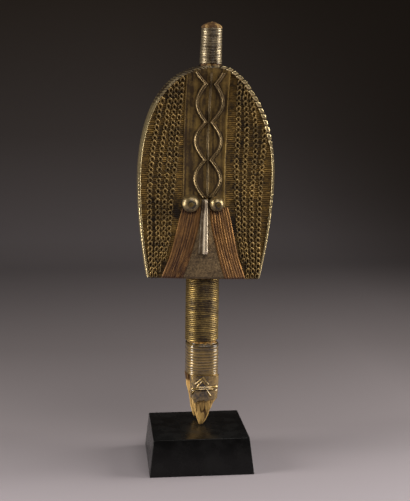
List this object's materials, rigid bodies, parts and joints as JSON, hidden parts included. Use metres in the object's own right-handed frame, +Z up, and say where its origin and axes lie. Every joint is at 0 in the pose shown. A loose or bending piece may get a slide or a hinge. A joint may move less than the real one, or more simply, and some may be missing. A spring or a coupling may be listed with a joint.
{
  "type": "reliquary guardian figure",
  "caption": "Abstract guardian figure: a leaf-shaped face of metal strip over carved wood, on a wire-bound neck with a broken pointed foot, standing on a black block.",
  "frame": {"origin": "centre of the stand block's underside", "axes": "+Z up, the face looks along -Y, +X to the viewer's right when facing the figure"},
  "size_m": [0.1373, 0.103, 0.4418],
  "materials": {
    "black_block": "black lacquer, satin",
    "wood": "dry, split at the foot",
    "dark_brass": "dark patina over fine laid strip",
    "bright_brass": "rubbed bright on the raised edges",
    "copper": "ridged copper strip, dull",
    "grey_brass": "worn, greyish"
  },
  "bodies": {
    "root": {"stand_block": "black_block", "wood_core": "wood", "neck_wrap": "bright_brass", "shoulder_bands": "bright_brass", "motif_sheet": "bright_brass", "topknot_wrap": "bright_brass", "face_laminae": "dark_brass", "rim_binding": "bright_brass", "forehead_plate": "dark_brass", "forehead_rib": "grey_brass", "nose_blade": "grey_brass", "cheek_plate": "grey_brass", "back_laminae": "dark_brass", "back_strip": "grey_brass", "interlace_left": "grey_brass", "eye_left": "grey_brass", "eye_pin_left": "bright_brass", "copper_band_left": "copper", "stitch_column_left_1": "dark_brass", "stitch_column_left_2": "dark_brass", "stitch_column_left_3": "dark_brass", "stitch_column_left_4": "dark_brass", "interlace_right": "grey_brass", "eye_right": "grey_brass", "eye_pin_right": "bright_brass", "copper_band_right": "copper", "stitch_column_right_1": "dark_brass", "stitch_column_right_2": "dark_brass", "stitch_column_right_3": "dark_brass", "stitch_column_right_4": "dark_brass"}
  },
  "joints": []
}
